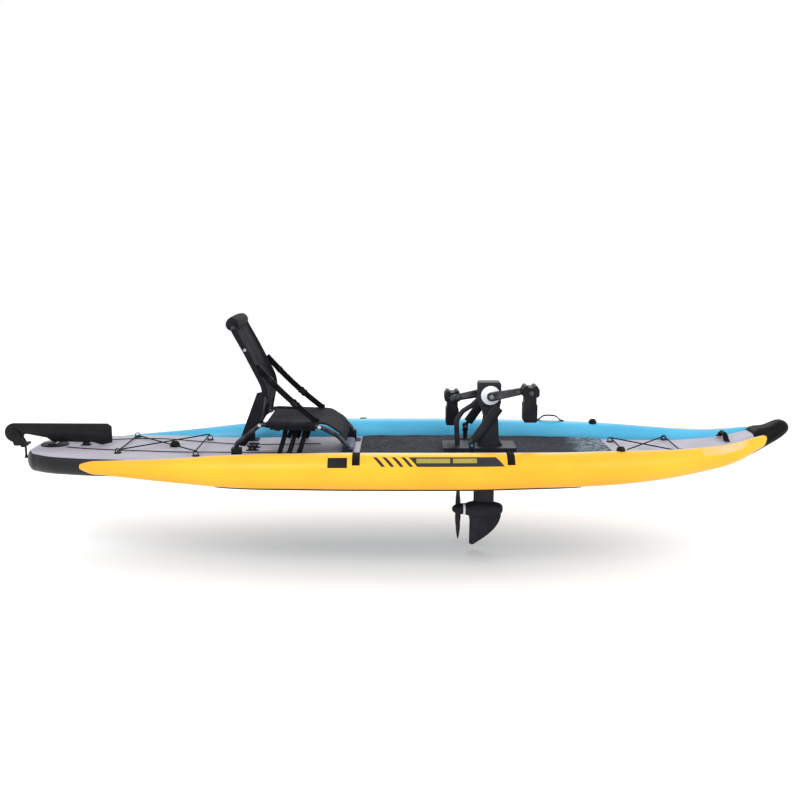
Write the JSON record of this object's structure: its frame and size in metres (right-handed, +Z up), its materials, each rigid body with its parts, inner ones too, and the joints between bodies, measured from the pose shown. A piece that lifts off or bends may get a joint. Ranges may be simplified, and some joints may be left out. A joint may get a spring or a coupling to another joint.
{
  "type": "inflatable pedal kayak",
  "caption": "Inflatable sit-on-top kayak with a folding frame seat, lift-out pedal drive with propeller and skeg, flip-up rudder and tilting rod holders.",
  "frame": {"origin": "amidships on the centreline, on the underside of the floor", "axes": "+X to the bow, +Y to port, +Z up"},
  "size_m": [3.739, 0.9484, 1.1185],
  "materials": {
    "deck_grey": "matte",
    "black_hull": "matte",
    "tube_shell": "satin",
    "liner": "matte",
    "black_plastic": "satin",
    "webbing": "matte",
    "patch": "satin",
    "cord": "matte",
    "stainless": "polished",
    "seat_tube": "satin",
    "seat_fabric": "matte",
    "foam": "matte",
    "drive_body": "matte",
    "white_cover": "gloss",
    "crank_metal": "satin",
    "gear_steel": "satin",
    "rudder_plastic": "satin",
    "pocket": "matte",
    "bright_bolt": "polished",
    "bush": "satin"
  },
  "bodies": {
    "hull": {"floor_board": "deck_grey", "bow_nose": "black_hull", "port_tube": "tube_shell", "starboard_tube": "tube_shell", "rub_strakes": "black_hull", "cockpit_liner": "liner", "drive_well_frame": "black_plastic", "bow_handle": "webbing", "port_side_handle": "webbing", "blade_rest": "black_plastic", "deck_rings": "patch", "deck_bungees": "cord", "steering_lines": "cord", "line_cleats": "black_plastic", "side_tabs": "webbing", "valve_bodies": "black_plastic", "rudder_base_plate": "black_plastic", "rudder_bracket": "stainless", "port_seat_frame": "seat_tube", "starboard_seat_frame": "seat_tube", "seat_crossbars": "seat_tube", "seat_feet": "black_plastic", "seat_foot_patches": "patch", "seat_pan": "seat_fabric", "seat_pocket": "pocket", "seat_ties": "webbing", "seat_bolts": "bright_bolt", "rod_holder_bases": "black_plastic", "rod_holder_bolts": "bright_bolt", "back_straps": "webbing", "rear_stays": "webbing"},
    "seat_back": {"back_frame": "seat_tube", "back_cover": "seat_fabric", "head_roll": "foam", "back_bolts": "bright_bolt"},
    "steering_head": {"rudder_head": "black_plastic"},
    "flip_blade": {"rudder_blade": "rudder_plastic"},
    "drive_unit": {"gearbox_housing": "drive_body", "gearbox_covers": "white_cover", "drive_column": "drive_body", "drive_pod": "drive_body", "drive_skeg": "drive_body", "drive_arch": "drive_body", "shaft_bushings": "bush", "pod_seal_ring": "white_cover"},
    "crankset": {"crank_spindle": "gear_steel", "ring_gear": "gear_steel", "crank_arms": "crank_metal", "crank_bolts": "bright_bolt"},
    "starboard_pedal_body": {"starboard_pedal": "black_plastic"},
    "port_pedal_body": {"port_pedal": "black_plastic"},
    "gear_shaft": {"upright_shaft": "gear_steel"},
    "propulsor": {"prop_shaft": "stainless", "propeller": "drive_body"},
    "starboard_holder": {"starboard_rod_holder": "black_plastic"},
    "port_holder": {"port_rod_holder": "black_plastic"},
    "floor_cap": {"floor_valve_cap": "black_plastic"},
    "port_cap": {"port_valve_cap": "black_plastic"},
    "starboard_cap": {"starboard_valve_cap": "black_plastic"}
  },
  "joints": [
    {"name": "seat_fold", "type": "hinge", "parent": "hull", "child": "seat_back", "pos_m": [-0.68, 0, 0.26], "axis": [0, 1, 0], "range_deg": [0, 66], "deforming": ["back_straps", "rear_stays"]},
    {"name": "rudder_steer", "type": "hinge", "parent": "hull", "child": "steering_head", "pos_m": [-1.837, 0, 0.068], "axis": [0, 0, 1], "range_deg": [-30, 30]},
    {"name": "rudder_flip", "type": "hinge", "parent": "steering_head", "child": "flip_blade", "pos_m": [-1.885, 0, 0.18], "axis": [0, -1, 0], "range_deg": [0, 255]},
    {"name": "drive_lift", "type": "slide", "parent": "hull", "child": "drive_unit", "axis": [0, 0, 1], "range_m": [0, 0.5]},
    {"name": "crank_spin", "type": "hinge", "parent": "drive_unit", "child": "crankset", "pos_m": [0.386, 0, 0.367], "axis": [0, 1, 0], "continuous": true},
    {"name": "starboard_pedal_spin", "type": "hinge", "parent": "crankset", "child": "starboard_pedal_body", "pos_m": [0.55778, 0, 0.40039], "axis": [0, 1, 0], "continuous": true},
    {"name": "port_pedal_spin", "type": "hinge", "parent": "crankset", "child": "port_pedal_body", "pos_m": [0.21421, 0, 0.33361], "axis": [0, 1, 0], "continuous": true},
    {"name": "shaft_spin", "type": "hinge", "parent": "drive_unit", "child": "gear_shaft", "pos_m": [0.386, 0, 0], "axis": [0, 0, 1], "continuous": true},
    {"name": "prop_spin", "type": "hinge", "parent": "drive_unit", "child": "propulsor", "pos_m": [0.24, 0, -0.198], "axis": [1, 0, 0], "continuous": true},
    {"name": "starboard_holder_tilt", "type": "hinge", "parent": "hull", "child": "starboard_holder", "pos_m": [0.286, -0.215, 0.17], "axis": [0, 1, 0], "range_deg": [-25, 25]},
    {"name": "port_holder_tilt", "type": "hinge", "parent": "hull", "child": "port_holder", "pos_m": [0.286, 0.215, 0.17], "axis": [0, 1, 0], "range_deg": [-25, 25]},
    {"name": "floor_cap_turn", "type": "hinge", "parent": "hull", "child": "floor_cap", "pos_m": [-1.12, 0, 0.00012], "axis": [0, 0, 1], "range_deg": [0, 90]},
    {"name": "port_cap_turn", "type": "hinge", "parent": "hull", "child": "port_cap", "pos_m": [0.944, 0.31421, 0.00017], "axis": [0, 0, 1], "range_deg": [0, 90]},
    {"name": "starboard_cap_turn", "type": "hinge", "parent": "hull", "child": "starboard_cap", "pos_m": [0.944, -0.31421, 0.00017], "axis": [0, 0, 1], "range_deg": [0, 90]}
  ],
  "couplings": [
    {"joint": "shaft_spin", "follows": "crank_spin", "ratio": 3.3333},
    {"joint": "prop_spin", "follows": "crank_spin", "ratio": 6.6667}
  ]
}
